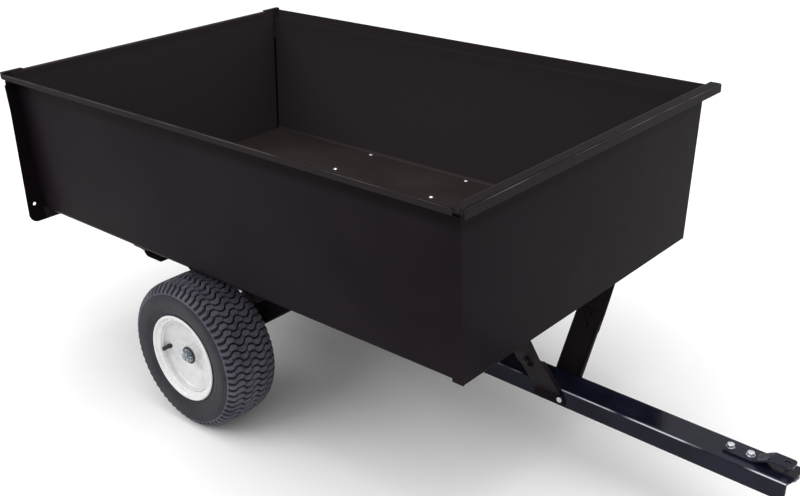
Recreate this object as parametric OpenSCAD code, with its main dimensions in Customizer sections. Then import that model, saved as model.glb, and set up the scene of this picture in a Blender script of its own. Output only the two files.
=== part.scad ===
// Tow-behind garden dump cart. +X points forward to the hitch, +Y to the left, +Z up.
// The ground is z = 0 and the origin lies under the middle of the cart's length.

/* [Tub] */
// From the axle forward to the foot of the front wall
tub_front = 879; // [865:1:890]
// From the axle back to the rear ends of the side walls
tub_rear = 667; // [655:1:675]
// Width across the side walls at the floor
floor_w = 936; // [926:2:940]
// Width across the side walls just under their rims
wall_w = 974; // [964:2:980]
// Width over the two side rims
rim_w = 1031; // [1020:1:1036]
// Height of the floor's underside
floor_z = 438; // [434:1:444]
// Height of the side rims
rim_z = 850; // [845:1:860]
// Depth of the turned-down lip on every rim
rim_lip = 20; // [14:1:24]
// Forward lean of the front wall from its foot to its rim
front_lean = 9; // [4:1:12]
// Width of the front rim
front_rim_w = 30; // [24:1:34]
// Thickness of the tub's sheet steel
sheet = 2; // [1.5:0.5:2.5]

/* [Rear end] */
// Width over the two ear plates
ears_w = 1036; // [1020:2:1040]
// Height of the lower edge of the ear plates
ear_z = 405; // [400:1:410]
// Diameter of the hole at the foot of each ear plate
ear_hole_d = 10; // [8:1:12]
// Gap between the ear plates and the tailgate's face
gate_gap = 10; // [8:1:14]
// Width of the tailgate's turned-back top rim
gate_rim_w = 14; // [12:1:20]
// Reach of the tailgate's corner caps towards the middle
cap_w = 63; // [40:1:80]

/* [Running gear] */
// Outer diameter of the tyres
tyre_d = 406; // [400:1:410]
// Section width of the tyres
tyre_w = 165; // [160:1:168]
// Distance between the centre planes of the wheels
track = 896; // [890:1:900]
// Diameter over the rim flanges
rim_d = 235; // [230:1:238]
// Distance between the rim flanges' outer edges
rim_span = 150; // [144:1:152]
// Diameter of the axle
axle_d = 25.4; // [24:0.1:26]
// Length of the axle
axle_l = 1032; // [1026:2:1040]
// Distance of each axle bracket from the middle
bracket_y = 320; // [310:1:324]

/* [Tongue and hitch] */
// From the axle forward to the rounded nose of the tongue
tongue_front = 1416; // [1410:1:1440]
// Width of the tongue channel
tongue_w = 84; // [78:1:86]
// Height of the tongue channel
tongue_h = 46; // [44:1:50]
// Thickness of the tongue's steel
tongue_t = 4; // [3:0.5:5]
// Fall of the tongue per unit of its length
tongue_fall = 0.025; // [0.02:0.001:0.03]
// Height of the tongue's top face above the axle's centre
tongue_rise = 25; // [23:1:27]
// Diameter of the hitch pin holes
pin_d = 16; // [13:1:17]
// Gap between the tongue and the raised end of the hitch strap
jaw_gap = 20; // [16:1:24]
// Width of the hitch strap
strap_w = 38; // [34:1:40]
// Thickness of the hitch strap
strap_t = 5; // [4:1:6]

/* [Front support] */
// From the axle forward to the middle of the support legs
leg_x = 810; // [790:1:811]
// Width of the support legs
leg_w = 76; // [70:2:80]
// Thickness of the support legs
leg_t = 3; // [3:1:4]
// Sideways spread of the legs per unit of height
leg_spread = 0.656; // [0.64:0.001:0.67]

/* [Hidden] */
$fn = 64;
far = 2000;                 // larger than any part, for cutting shapes
left = 1;
right = -1;

paint = [0.15, 0.13, 0.14];
tongue_paint = [0.13, 0.13, 0.18];
zinc = [0.78, 0.80, 0.82];
rim_paint = [0.90, 0.90, 0.89];
rubber = [0.20, 0.20, 0.24];
plastic = [0.10, 0.10, 0.11];

// Tub
root_drop = 29;             // the side rims flare out over this height
root_z = rim_z - root_drop;
rim_bend = 4;
root_bend = 8;
floor_bend = 8;
panel_bend = 3;             // outer radius of the fold under the front wall
panel_wrap = 27;            // returns of the front panel round the side walls and the floor
front_flange_w = rim_w + 3; // the front rim is this wide
ear_corner = 28;
ear_hole_in = 22;           // hole centre to the ear's outer edge
ear_hole_z = floor_z + 23;
wall_tab = 94;              // the walls reach back to the tailgate over this height at the top

// Tailgate
gate_x = -tub_rear - sheet - gate_gap;      // inner face of the tailgate
gate_side = 13;             // tailgate's edge outside the wall's outer face
gate_z = ear_z + 4.5;
gate_rim_drop = 3;          // tailgate's rim below the side rims
cap_t = 3;
cap_front = gate_x + 0.3;
cap_back = gate_x - gate_rim_w;
guide_clear = 1;
guide_back = gate_x - 4;    // inner face of the guides' rear lip
guide_foot_w = 20;
guide_z = [480, root_z - 4];
sill_half = floor_w / 2 - 13;
sill_z = gate_z - 0.5;

// Wheels and axle
wheel_r = tyre_d / 2;
axle_r = axle_d / 2;
fit = 0.05;                 // running clearance on the axle
tube_r = 17;
hub_r = 22;
hub_end = 52;               // hub's half length
bush_r = 15.9;
bush_t = 3;
bush_flange_r = 24;
washer_r = 19;
washer_t = 2.5;
valve_r = 88;               // valve's distance from the axle
valve_drop = 6;
valve_hole_r = 6.6;
cotter_in = 6.5;            // cotter pin from the end of the axle
cotter_r = 2.2;

// Frame under the tub
cross_x = [174, -216];      // front and rear crossmember
cross_w = 60;
cross_h = 50;
cross_t = 3;
cross_cut = [423, 445, 462];
bolt_y = [284, floor_w / 2 - 18];
bracket_t = 4;
bracket_flange = 30;
bracket_rise = 0.70;        // slope of the bracket's edges
bracket_boss = 26;
bracket_bolt_y = bracket_y - 14;
under_z = floor_z - cross_h;

// Front support
leg_out = tongue_w / 2 + 3.7;               // outer face of the leg's upright tab
leg_tab_z = [166, 190];
leg_top = 340;
leg_nose = 12;              // the tab's reach in front of the leg
leg_flange = [200, 322];
leg_flange_w = 8;
leg_bolt_z = [326, 304];
strap_foot = 296;
strap_bend_z = 342;
strap_spread = 0.58;
strap_flange = 30;
strap_bolt_x = [leg_x - 18, leg_x + 18];
strap_top_y = leg_y(strap_bend_z) + strap_spread * (floor_z - strap_bend_z);
strap_bolt_y = strap_top_y + strap_flange / 2 + 2;
rest_x = leg_x + 37;
rest_z = 182;

// Fasteners
m8 = 4;
m10 = 5;
slack = 0.3;                // radial room round a bolt in its hole
head_h = 5.5;
nut_h = 6.5;
head_r = 7.5;               // corner radius of the 13 mm hexagons
big_head_r = 8.7;           // corner radius of the 15 mm hexagons
dome_r = 8;
dome_h = 4;
hitch_washer_r = 10;
hitch_washer_t = 2;
hitch_bolt_u = [1262, 1309];
pin_u = 1389;

// Tongue, measured along its top face
tongue_rear = -70;
nose_drop = 10;             // rounding of the web's front edge
nose_u = tongue_front / cos(atan(tongue_fall));
tongue_bend = 7;

// Length of the whole cart and its middle, from the axle
front_end = tongue_front;
rear_end = cap_back;
mid_x = (front_end + rear_end) / 2;

// ---- Geometry helpers ----

function unit(v) = v / norm(v);
function left_of(a, b) = let (d = unit(b - a)) [-d.y, d.x];

// Arc of radius r that rounds the corner b between a and c, in smaller steps where r is large
function corner(a, b, c, r) = let (n = r > 24 ? 8 : 4,
    u = unit(a - b), v = unit(c - b), opening = acos(u * v), turn = 180 - opening,
    centre = b + unit(u + v) * r / sin(opening / 2),
    p = b + u * r / tan(opening / 2) - centre, q = b + v * r / tan(opening / 2) - centre)
    [for (i = [0:n]) centre + (p * sin(turn * (n - i) / n) + q * sin(turn * i / n)) / sin(turn)];

// Polyline with its corners rounded; radii has one value for each inner corner
function path(p, radii) = [
    p[0],
    for (i = [1:len(p) - 2]) each corner(p[i - 1], p[i], p[i + 1], radii[i - 1]),
    p[len(p) - 1]
];

// Point i of the line moved sideways by t, to the left where t is positive
function moved(p, i, t) = let (
    last = len(p) - 1, j = max(i - 1, 0), k = min(i, last - 1),
    a = left_of(p[j], p[j + 1]), b = left_of(p[k], p[k + 1]))
    p[i] + t * (a + b) / (1 + a * b);

// Outline of a bent sheet of thickness t that lies beside the line
function band(p, t) = concat(p, [for (i = [len(p) - 1:-1:0]) moved(p, i, t)]);

// The line continued by its mirror image in the first coordinate
function mirrored(p) = concat(p, [for (i = [len(p) - 1:-1:0]) [-p[i].x, p[i].y]]);

// Half width over the side walls' outer faces at height z
function wall_y(z) = (floor_w + (wall_w - floor_w) * (z - floor_z) / (root_z - floor_z)) / 2;
// Inner face of the front wall at height z
function front_x(z) = tub_front + front_lean * (z - floor_z) / (rim_z - floor_z);
// Outer face of a support leg at height z
function leg_y(z) = leg_out + leg_spread * (z - leg_tab_z[1]);
// A strip beside the side wall, from in to out of its outer face
function wall_strip(from, to, z) = [
    [wall_y(z[0]) + from, z[0]], [wall_y(z[0]) + to, z[0]],
    [wall_y(z[1]) + to, z[1]], [wall_y(z[1]) + from, z[1]]
];

// Moves shapes from the axle's frame to the cart's own frame
module cart() {
    translate([-mid_x, 0, 0]) children();
}

module sided(s) {
    mirror([0, s < 0 ? 1 : 0, 0]) children();
}

module both_sides() {
    for (s = [left, right]) sided(s) children();
}

// Outline in Y and Z, extruded along X
module along_x(x0, x1) {
    translate([x0, 0, 0]) rotate([90, 0, 90]) linear_extrude(x1 - x0) children();
}

// Outline in X and Z, extruded along Y
module along_y(y0, y1) {
    translate([0, y1, 0]) rotate([90, 0, 0]) linear_extrude(y1 - y0) children();
}

// Rod along +Y between y0 and y1 at a place in X and Z
module rod_y(r, y0, y1, x = 0, z = 0) {
    translate([x, y0, z]) rotate([-90, 0, 0]) cylinder(r = r, h = y1 - y0);
}

module tube_y(r, bore, y0, y1, z) {
    difference() {
        rod_y(r, y0, y1, 0, z);
        rod_y(bore, y0 - 1, y1 + 1, 0, z);
    }
}

// Places shapes in the tongue's own frame: X along it, z = 0 on its top face
module on_tongue() {
    translate([0, 0, wheel_r + tongue_rise]) rotate([0, atan(tongue_fall), 0]) children();
}

// Places shapes on the leg's outer face with +Z towards the middle of the cart
module on_leg(z) {
    translate([leg_x, leg_y(z), z]) rotate([atan(1 / leg_spread), 0, 0]) children();
}

// ---- Fasteners, each standing on z = 0 with its shank down ----

module hexagon(r, h) {
    cylinder(r = r, h = h, $fn = 6);
}

module hex_bolt(r, corner_r, h, length) {
    hexagon(corner_r, h);
    translate([0, 0, -length]) cylinder(r = r, h = length);
}

module dome(r, h) {
    ball = (r * r + h * h) / (2 * h);
    intersection() {
        translate([0, 0, h - ball]) sphere(ball);
        cylinder(r = r, h = h);
    }
}

module carriage_bolt(length) {
    dome(dome_r, dome_h);
    translate([0, 0, -length]) cylinder(r = m8, h = length);
}

module nut(r, corner_r, h) {
    difference() {
        hexagon(corner_r, h);
        translate([0, 0, -1]) cylinder(r = r + slack / 3, h = h + 2);
    }
}

// ---- Bolt places ----

module at_floor_bolts() {
    for (x = cross_x, y = bolt_y, s = [left, right])
        translate([x, s * y, 0]) children();
}

module at_bracket_bolts() {
    for (x = cross_x, s = [left, right])
        translate([x, s * bracket_bolt_y, 0]) children();
}

module at_strap_bolts() {
    for (x = strap_bolt_x, s = [left, right])
        translate([x, s * strap_bolt_y, 0]) children();
}

module at_leg_bolts() {
    both_sides() for (z = leg_bolt_z) on_leg(z) children();
}

// ---- Tub ----

inside_line = path(mirrored([
    [rim_w / 2, rim_z - rim_lip], [rim_w / 2, rim_z], [wall_y(root_z) - sheet, root_z],
    [wall_y(floor_z) - sheet, floor_z + sheet]
]), [rim_bend, root_bend, floor_bend, floor_bend, root_bend, rim_bend]);

// Side view of the shell: slanted front, and tabs at the top that reach back to the tailgate
module shell_side() {
    fold = panel_bend - sheet + 0.2;    // clears the inside of the front panel's fold
    polygon([
        [-tub_rear - sheet, 0], [tub_front - fold, 0], [tub_front - fold, floor_z],
        [front_x(floor_z + fold), floor_z + fold], [front_x(far), far], [gate_x + 1, far],
        [gate_x + 1, rim_z - wall_tab], [-tub_rear - sheet, rim_z - wall_tab]
    ]);
}

module tub_shell() {
    color(paint) cart() difference() {
        intersection() {
            along_x(-far, far) polygon(band(inside_line, sheet));
            along_y(-far, far) shell_side();
        }
        at_floor_bolts() translate([0, 0, floor_z - 1]) cylinder(r = m8 + slack, h = sheet + 2);
        at_strap_bolts() translate([0, 0, floor_z - 1]) cylinder(r = m8 + slack, h = sheet + 2);
    }
}

// Plate round the shell's rear end: an ear beside each wall, joined under the floor
module rear_frame() {
    shell_outside = [for (i = [0:len(inside_line) - 1]) moved(inside_line, i, sheet)];
    color(paint) cart() difference() {
        along_x(-tub_rear - sheet, -tub_rear) difference() {
            polygon(path(mirrored([
                [ears_w / 2, rim_z - rim_lip], [ears_w / 2, ear_z]
            ]), [ear_corner, ear_corner]));
            polygon(concat(shell_outside, [[-rim_w, far], [rim_w, far]]));
        }
        for (s = [left, right])
            translate([-tub_rear - 10, s * (ears_w / 2 - ear_hole_in), ear_hole_z])
                rotate([0, 90, 0]) cylinder(d = ear_hole_d, h = 20);
    }
}

// The front wall with its bottom return, its rim and its returns round the side walls
module front_panel() {
    rim_x = front_x(rim_z) + sheet;
    side_line = path([
        [tub_front - panel_wrap, floor_z - sheet], [tub_front + sheet, floor_z - sheet], [rim_x, rim_z],
        [rim_x + front_rim_w, rim_z], [rim_x + front_rim_w, rim_z - rim_lip]
    ], [panel_bend, rim_bend, rim_bend - 1]);
    wrap_z = [floor_z - sheet, root_z - 4];
    color(paint) cart() {
        intersection() {
            along_y(-front_flange_w / 2, front_flange_w / 2) polygon(band(side_line, sheet));
            union() {
                along_x(tub_front - panel_wrap - 1, far) polygon(mirrored([
                    [wall_y(far) + sheet, far], [wall_y(0) + sheet, 0]
                ]));
                translate([rim_x, -far / 2, rim_z - far / 2]) cube([far, far, far]);
            }
        }
        both_sides() intersection() {
            along_x(tub_front - panel_wrap, far) polygon(wall_strip(0, sheet, wrap_z));
            along_y(-far, far) polygon([
                [0, 0], [front_x(0) + sheet, 0], [front_x(far) + sheet, far], [0, far]
            ]);
        }
    }
}

// Channel across the underside of the tub, open towards the axle; dir is +1 ahead of the axle
module crossmember(x, dir) {
    half = cross_w / 2;
    difference() {
        intersection() {
            translate([x, 0, 0]) along_y(-cross_cut[2], cross_cut[2]) polygon(band(path([
                [-dir * half, floor_z], [dir * half, floor_z], [dir * half, under_z], [-dir * half, under_z]
            ], [6, 6]), -dir * cross_t));
            along_x(-far, far) polygon(mirrored([
                [cross_cut[2], floor_z], [cross_cut[2], floor_z - cross_t], [cross_cut[1], floor_z - cross_t],
                [cross_cut[0], under_z]
            ]));
        }
        at_floor_bolts() translate([0, 0, floor_z - 10]) cylinder(r = m8 + slack, h = 12);
        at_bracket_bolts() translate([0, 0, under_z - 2]) cylinder(r = m8 + slack, h = 10);
    }
}

module crossmember_front() {
    color(paint) cart() crossmember(cross_x[0], 1);
}

module crossmember_rear() {
    color(paint) cart() crossmember(cross_x[1], -1);
}

module floor_bolts() {
    color(zinc) cart() at_floor_bolts() translate([0, 0, floor_z + sheet]) carriage_bolt(18);
}

module floor_nuts() {
    color(zinc) cart() at_floor_bolts() translate([0, 0, floor_z - cross_t - nut_h])
        nut(m8, head_r, nut_h);
}

// ---- Axle brackets, bolted under the crossmembers ----

module axle_bracket(s) {
    foot = 24;
    reach = (under_z - wheel_r) / bracket_rise + foot;
    flange_over = 40;
    sided(s) difference() {
        union() {
            along_y(bracket_y, bracket_y + bracket_t) {
                polygon([[-reach, under_z], [reach, under_z], [foot, wheel_r], [-foot, wheel_r]]);
                translate([0, wheel_r]) circle(bracket_boss);
            }
            translate([cross_x[1] - flange_over, bracket_y - bracket_flange, under_z - bracket_t])
                cube([cross_x[0] - cross_x[1] + 2 * flange_over, bracket_flange + bracket_t, bracket_t]);
        }
        rod_y(axle_r + fit, bracket_y - 1, bracket_y + bracket_t + 1, 0, wheel_r);
        at_bracket_bolts() translate([0, 0, under_z - 10]) cylinder(r = m8 + slack, h = 12);
    }
}

module axle_bracket_left() {
    color(paint) cart() axle_bracket(left);
}

module axle_bracket_right() {
    color(paint) cart() axle_bracket(right);
}

module bracket_bolts() {
    color(zinc) cart() at_bracket_bolts() translate([0, 0, under_z - bracket_t]) mirror([0, 0, 1])
        hex_bolt(m8, head_r, head_h, bracket_t + cross_t + nut_h + 2);
}

module bracket_nuts() {
    color(zinc) cart() at_bracket_bolts() translate([0, 0, under_z + cross_t]) nut(m8, head_r, nut_h);
}

// ---- Front support: two splayed legs bolted to straps under the floor ----

// Upper strap with its flange under the floor
module support_strap(s) {
    line = path([
        [leg_y(strap_foot), strap_foot], [leg_y(strap_bend_z), strap_bend_z],
        [strap_top_y, floor_z], [strap_top_y + strap_flange, floor_z]
    ], [30, 5]);
    sided(s) difference() {
        along_x(leg_x - leg_w / 2, leg_x + leg_w / 2) polygon(band(line, -leg_t));
        for (z = leg_bolt_z) on_leg(z) translate([0, 0, -10]) cylinder(r = m8 + slack, h = 20);
        at_strap_bolts() translate([0, 0, floor_z - 10]) cylinder(r = m8 + slack, h = 12);
    }
}

module support_strap_left() {
    color(paint) cart() support_strap(left);
}

module support_strap_right() {
    color(paint) cart() support_strap(right);
}

// Leg whose upright tab straddles the tongue and sits over the rest bolt with a notch
module support_leg(s) {
    x0 = leg_x - leg_w / 2;
    x1 = leg_x + leg_w / 2;
    line = path([
        [leg_out, leg_tab_z[0]], [leg_out, leg_tab_z[1]], [leg_y(leg_top), leg_top]
    ], [4]);
    sided(s) difference() {
        union() {
            intersection() {
                along_x(x0, x1 + leg_nose) polygon(band(line, leg_t));
                along_y(0, far) polygon([
                    [x0, 0], [x1 + leg_nose, 0], [x1 + leg_nose, leg_tab_z[1] - 8], [x1 + 4, leg_tab_z[1]],
                    [x1, leg_tab_z[1] + 6], [x1, leg_flange[1]], [x1 - 12, leg_top], [x0, leg_top]
                ]);
            }
            // Stiffening flange along the front edge
            along_x(x1 - leg_t, x1) polygon([
                [leg_y(leg_flange[0]) - leg_t, leg_flange[0]], [leg_y(leg_flange[1]) - leg_t, leg_flange[1]],
                [leg_y(leg_flange[1]) - leg_t - leg_flange_w, leg_flange[1]],
                [leg_y(leg_flange[0]) - leg_t - leg_flange_w, leg_flange[0] + 6]
            ]);
        }
        for (z = leg_bolt_z) on_leg(z) translate([0, 0, -10]) cylinder(r = m8 + slack, h = 20);
        // Notch, open at the bottom
        rod_y(m8 + 0.5, 0, leg_out + 10, rest_x, rest_z);
        translate([rest_x - m8 - 0.5, 0, 0]) cube([2 * m8 + 1, leg_out + 10, rest_z]);
    }
}

module support_leg_left() {
    color(paint) cart() support_leg(left);
}

module support_leg_right() {
    color(paint) cart() support_leg(right);
}

module leg_bolts() {
    color(paint) cart() at_leg_bolts() translate([0, 0, leg_t])
        hex_bolt(m8, head_r, head_h, 2 * leg_t + nut_h + 2);
}

module leg_nuts() {
    color(paint) cart() at_leg_bolts() translate([0, 0, -leg_t - nut_h]) nut(m8, head_r, nut_h);
}

module strap_bolts() {
    color(zinc) cart() at_strap_bolts() translate([0, 0, floor_z + sheet]) carriage_bolt(14);
}

module strap_nuts() {
    color(zinc) cart() at_strap_bolts() translate([0, 0, floor_z - leg_t - nut_h])
        nut(m8, head_r, nut_h);
}

// ---- Tailgate and what holds it ----

// Channel welded behind an ear plate, in which the tailgate's edge slides
module tailgate_guide(s) {
    web = gate_side + guide_clear;
    sided(s) {
        along_x(-tub_rear - 2 * sheet, -tub_rear - sheet)
            polygon(wall_strip(web, web + guide_foot_w, guide_z));
        along_x(guide_back - sheet, -tub_rear - sheet) polygon(wall_strip(web, web + sheet, guide_z));
        along_x(guide_back - sheet, guide_back)
            polygon(wall_strip(web - guide_foot_w, web + sheet, guide_z));
    }
}

module tailgate_guide_left() {
    color(paint) cart() tailgate_guide(left);
}

module tailgate_guide_right() {
    color(paint) cart() tailgate_guide(right);
}

// Shelf behind the rear edge of the floor, on which the tailgate stands
module tailgate_sill() {
    plate_x = -tub_rear - sheet;
    color(paint) cart() along_y(-sill_half, sill_half) polygon(band(path([
        [plate_x, floor_z - 4], [plate_x, sill_z - sheet], [gate_x - 7, sill_z - sheet],
        [gate_x - 7, sill_z + 15]
    ], [3, 3]), -sheet));
}

module tailgate_panel() {
    back = gate_x - sheet;
    rim_top = rim_z - gate_rim_drop;
    side_line = path([
        [gate_x + gate_gap - sheet - 2, gate_z], [back, gate_z], [back, rim_top - sheet],
        [cap_back + sheet, rim_top - sheet], [cap_back + sheet, rim_z - rim_lip]
    ], [3, 3, 3]);
    color(paint) cart() intersection() {
        along_y(-far, far) polygon(band(side_line, -sheet));
        union() {
            along_x(-far, 0) polygon(mirrored([
                [wall_y(far) + gate_side, far], [wall_y(0) + gate_side, 0]
            ]));
            translate([-far, -rim_w / 2 + cap_t, rim_z - rim_lip]) cube([far, rim_w - 2 * cap_t, far]);
        }
    }
}

// Cap over each top corner of the tailgate
module tailgate_cap(s) {
    outer = rim_w / 2;
    foot = rim_z - rim_lip;
    sided(s) {
        translate([cap_back, outer - cap_w, rim_z - gate_rim_drop])
            cube([cap_front - cap_back, cap_w, gate_rim_drop]);
        along_y(outer - cap_t, outer) polygon(path([
            [cap_front, rim_z], [cap_back, rim_z], [cap_back, foot], [cap_front, foot]
        ], [2, 7]));
    }
}

module tailgate_cap_left() {
    color(paint) cart() tailgate_cap(left);
}

module tailgate_cap_right() {
    color(paint) cart() tailgate_cap(right);
}

// ---- Tongue and hitch ----

// Plan view of the tongue with its rounded nose
module tongue_plan() {
    nose_r = (pow(tongue_w / 2, 2) + pow(nose_drop, 2)) / (2 * nose_drop);
    intersection() {
        translate([tongue_rear, -tongue_w / 2]) square([tongue_front - tongue_rear + 5, tongue_w]);
        union() {
            translate([nose_u - nose_r, 0]) circle(nose_r, $fn = 96);
            translate([tongue_rear, -tongue_w / 2]) square([nose_u - nose_r - tongue_rear, tongue_w]);
        }
    }
}

module tongue() {
    half = tongue_w / 2;
    color(tongue_paint) cart() difference() {
        on_tongue() difference() {
            intersection() {
                along_x(tongue_rear, tongue_front + 20) polygon(band(path([
                    [-half, -tongue_h], [-half, 0], [half, 0], [half, -tongue_h]
                ], [tongue_bend, tongue_bend]), -tongue_t));
                translate([0, 0, -tongue_h - 1]) linear_extrude(tongue_h + 2) tongue_plan();
                along_y(-far, far) polygon([
                    [tongue_rear + 12, -tongue_h], [nose_u - 17, -tongue_h], [nose_u - 9, -tongue_h + 14],
                    [far, -tongue_h + 14], [far, 1], [tongue_rear, 1], [tongue_rear, -tongue_h + 12]
                ]);
            }
            for (u = hitch_bolt_u)
                translate([u, 0, -tongue_t - 1]) cylinder(r = m10 + slack, h = tongue_t + 2);
            translate([pin_u, 0, -tongue_t - 1]) cylinder(d = pin_d, h = tongue_t + 2);
        }
        rod_y(axle_r + fit, -tongue_w, tongue_w, 0, wheel_r);
        rod_y(m8 + slack, -tongue_w, tongue_w, rest_x, rest_z);
    }
}

// Joggled strap that forms the upper jaw of the hitch
module hitch_strap() {
    half = strap_w / 2;
    rear = hitch_bolt_u[0] - 10;
    front = nose_u - 10;
    color(tongue_paint) cart() on_tongue() difference() {
        intersection() {
            along_y(-half, half) polygon(band(path([
                [rear, 0], [hitch_bolt_u[1] + 15, 0], [hitch_bolt_u[1] + 48, jaw_gap], [front, jaw_gap]
            ], [14, 14]), strap_t));
            linear_extrude(far) polygon(path([
                [pin_u - 60, half], [rear, half], [rear, -half], [front, -half], [front, half],
                [pin_u - 60, half]
            ], [4, 4, 9, 9]));
        }
        for (u = hitch_bolt_u) translate([u, 0, -1]) cylinder(r = m10 + slack, h = strap_t + 2);
        translate([pin_u, 0, 1]) cylinder(d = pin_d, h = jaw_gap + strap_t);
    }
}

module at_hitch_bolts() {
    on_tongue() for (u = hitch_bolt_u) translate([u, 0, 0]) children();
}

module hitch_bolts() {
    color(zinc) cart() at_hitch_bolts() translate([0, 0, strap_t + hitch_washer_t]) rotate(30)
        hex_bolt(m10, big_head_r, head_h + 1, strap_t + hitch_washer_t + tongue_t + nut_h + 4);
}

module hitch_washers() {
    color(zinc) cart() at_hitch_bolts() translate([0, 0, strap_t]) difference() {
        cylinder(r = hitch_washer_r, h = hitch_washer_t);
        translate([0, 0, -1]) cylinder(r = m10 + slack, h = hitch_washer_t + 2);
    }
}

module hitch_nuts() {
    color(zinc) cart() at_hitch_bolts() translate([0, 0, -tongue_t - nut_h - 1])
        nut(m10, big_head_r, nut_h + 1);
}

// Bolt across the tongue on which the support legs rest
module rest_bolt() {
    head_y = leg_out + 0.6;
    color(zinc) cart() {
        rod_y(m8, -head_y, head_y + nut_h + 2, rest_x, rest_z);
        translate([rest_x, -head_y, rest_z]) rotate([90, 0, 0]) hexagon(head_r, head_h);
    }
}

module rest_nut() {
    color(zinc) cart() translate([rest_x, leg_out + 0.6, rest_z]) rotate([-90, 0, 0])
        nut(m8, head_r, nut_h);
}

// ---- Axle ----

module axle() {
    half = axle_l / 2;
    color(zinc) cart() difference() {
        translate([0, 0, wheel_r]) rotate([90, 0, 0]) rotate_extrude() polygon([
            [0, -half], [axle_r - 1.5, -half], [axle_r, 1.5 - half],
            [axle_r, half - 1.5], [axle_r - 1.5, half], [0, half]
        ]);
        both_sides() translate([0, half - cotter_in, wheel_r]) rotate([0, 90, 0])
            cylinder(r = cotter_r + 0.2, h = 4 * axle_r, center = true);
    }
}

module axle_spacers() {
    color(paint) cart() both_sides()
        tube_y(tube_r, axle_r + fit, tongue_w / 2 + 0.3, bracket_y - 0.3, wheel_r);
}

module wheel_spacers() {
    color(paint) cart() both_sides() tube_y(tube_r, axle_r + fit, bracket_y + bracket_t + 0.3,
        track / 2 - hub_end - bush_t - 0.3, wheel_r);
}

module axle_washers() {
    start = track / 2 + hub_end + bush_t + 0.3;
    color(zinc) cart() both_sides() tube_y(washer_r, axle_r + fit, start, start + washer_t, wheel_r);
}

// Split pins through the ends of the axle, with their eyes to the rear
module cotter_pins() {
    eye_r = 5;
    color(zinc) cart() both_sides() translate([0, axle_l / 2 - cotter_in, wheel_r]) rotate([0, -90, 0]) {
        translate([0, 0, -axle_r - 7]) cylinder(r = cotter_r, h = 2 * axle_r + 9);
        translate([0, 0, axle_r + 2 + eye_r]) rotate([90, 0, 0]) rotate_extrude()
            translate([eye_r, 0]) circle(1.8, $fn = 24);
    }
}

// ---- Wheels, drawn about +Z with the outer side up, then set on the axle ----

module on_axle(s) {
    sided(s) translate([0, track / 2, wheel_r]) rotate([-90, 0, 0]) children();
}

module ring(outline) {
    rotate_extrude($fn = 96) polygon(outline);
}

// Steel rim barrel with its drop centre
module wheel_rim(s) {
    flange_r = rim_d / 2;
    seat_r = flange_r - 15.7;
    well_r = flange_r - 29.5;
    edge = rim_span / 2;
    half = [[flange_r, edge], [flange_r - 7.5, edge - 8], [seat_r, edge - 11], [seat_r, edge - 31],
        [well_r, edge - 39]];
    line = concat(half, [for (i = [4:-1:0]) [half[i].x, -half[i].y]]);
    on_axle(s) ring(band(path(line, [3, 3, 5, 5, 5, 5, 3, 3]), -2.5));
}

module wheel_rim_left() {
    color(rim_paint) cart() wheel_rim(left);
}

module wheel_rim_right() {
    color(rim_paint) cart() wheel_rim(right);
}

// Dished disc between the rim barrel and the hub
module wheel_disc(s) {
    edge = rim_d / 2 - 18.5;
    on_axle(s) difference() {
        ring(band(path([
            [hub_r + 0.1, 30], [46, 28], [72, 33], [90, 45], [edge, 50], [edge, 63]
        ], [20, 40, 30, 4]), 3));
        valve_place() translate([0, 0, -40]) cylinder(r = valve_hole_r, h = 80);
    }
}

module valve_place() {
    translate([-valve_r, valve_drop, 44]) children();
}

module wheel_disc_left() {
    color(rim_paint) cart() wheel_disc(left);
}

module wheel_disc_right() {
    color(rim_paint) cart() wheel_disc(right);
}

module wheel_hub(s) {
    on_axle(s) difference() {
        cylinder(r = hub_r, h = 2 * hub_end, center = true);
        cylinder(r = bush_r + 0.1, h = 3 * hub_end, center = true);
    }
}

module wheel_hub_left() {
    color(rim_paint) cart() wheel_hub(left);
}

module wheel_hub_right() {
    color(rim_paint) cart() wheel_hub(right);
}

// Flanged bearing bushes at both ends of the hub
module hub_bushings(s) {
    sleeve = 24;
    on_axle(s) for (end = [0, 1]) mirror([0, 0, end]) difference() {
        union() {
            translate([0, 0, hub_end - sleeve]) cylinder(r = bush_r, h = sleeve + bush_t);
            translate([0, 0, hub_end]) cylinder(r = bush_flange_r, h = bush_t);
        }
        cylinder(r = axle_r + fit, h = 2 * hub_end);
    }
}

module hub_bushings_left() {
    color(plastic) cart() hub_bushings(left);
}

module hub_bushings_right() {
    color(plastic) cart() hub_bushings(right);
}

// Pneumatic tyre with its bead on the rim's seat
module tyre(s) {
    side = tyre_w / 2;
    seat = rim_d / 2 - 15.5;
    edge = rim_span / 2;
    outer = [
        [seat, edge - 13], [rim_d / 2 - 7.5, edge - 9], [rim_d / 2 + 1, edge - 1.5],
        [rim_d / 2 + 22, side - 2], [wheel_r - 45, side], [wheel_r - 24, side - 3], [wheel_r - 9, side - 12],
        [wheel_r - 2, side - 28], [wheel_r, 36]
    ];
    inner = [
        [wheel_r - 11, 36], [wheel_r - 16, side - 27], [wheel_r - 30, side - 14], [wheel_r - 47, side - 11],
        [rim_d / 2 + 22, side - 14], [rim_d / 2 - 6, edge - 19], [seat, edge - 24]
    ];
    on_axle(s) ring(concat(
        outer, [for (i = [len(outer) - 1:-1:0]) [outer[i].x, -outer[i].y]],
        [for (i = [len(inner) - 1:-1:0]) [inner[i].x, -inner[i].y]], inner
    ));
}

module tyre_left() {
    color(rubber) cart() tyre(left);
}

module tyre_right() {
    color(rubber) cart() tyre(right);
}

// Snap-in valve through the disc, with its cap
module valve_stem(s) {
    on_axle(s) valve_place() {
        translate([0, 0, -1]) cylinder(r = valve_hole_r, h = 8);
        cylinder(r = 4, h = 20);
        translate([0, 0, 18]) cylinder(r = 4.8, h = 9);
    }
}

module valve_stem_left() {
    color(plastic) cart() valve_stem(left);
}

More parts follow.
